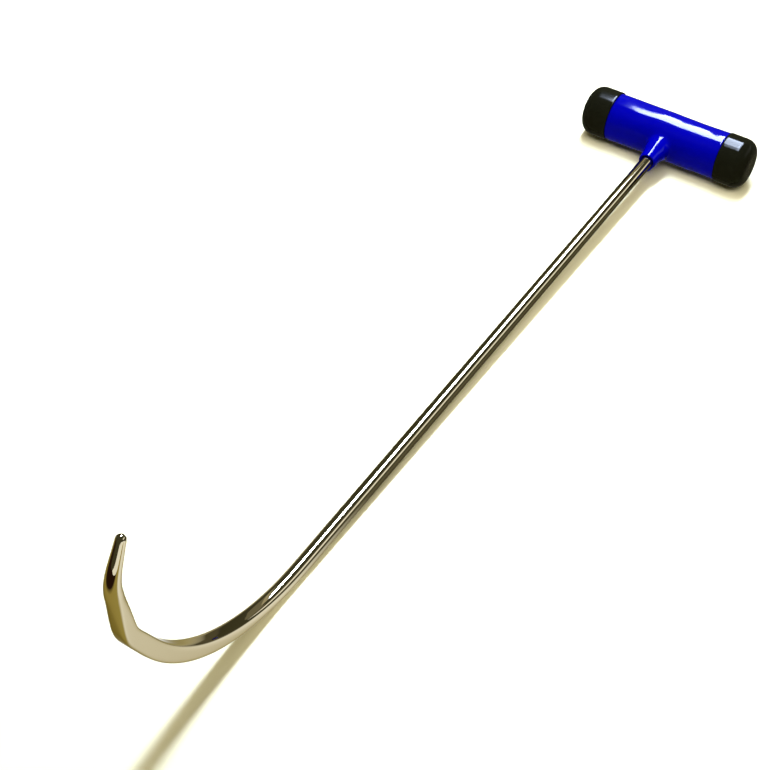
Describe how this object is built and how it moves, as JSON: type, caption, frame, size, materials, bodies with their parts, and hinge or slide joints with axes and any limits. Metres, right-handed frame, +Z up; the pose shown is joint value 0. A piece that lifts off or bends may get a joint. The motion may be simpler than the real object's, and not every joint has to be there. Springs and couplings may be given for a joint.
{
  "type": "hook rod with cross grip",
  "caption": "Long polished steel rod, forged at one end into a rising hook with a tapered blunt point, welded into a dipped cross grip with soft end caps.",
  "frame": {"origin": "middle of the bounding box, on the surface that the tool lies on", "axes": "+Z up; X along the cross grip; the rod runs from the grip towards -Y, and the hook at its end curls up and back towards +Y"},
  "size_m": [0.135, 0.673, 0.1725],
  "materials": {
    "polished_steel": "mirror polished, warm toned",
    "tube_steel": "drawn tube, bare",
    "weld_metal": "rippled weld bead",
    "plug_steel": "pressed sheet",
    "blue_dip": "glossy dipped vinyl, gently wavy",
    "black_vinyl": "glossy soft vinyl"
  },
  "bodies": {
    "root": {"hook_rod": "polished_steel", "crossbar_tube": "tube_steel", "front_weld": "weld_metal", "back_weld": "weld_metal", "tube_plug_left": "plug_steel", "tube_plug_right": "plug_steel", "grip_coat": "blue_dip", "end_cap_left": "black_vinyl", "end_cap_right": "black_vinyl"}
  },
  "joints": []
}
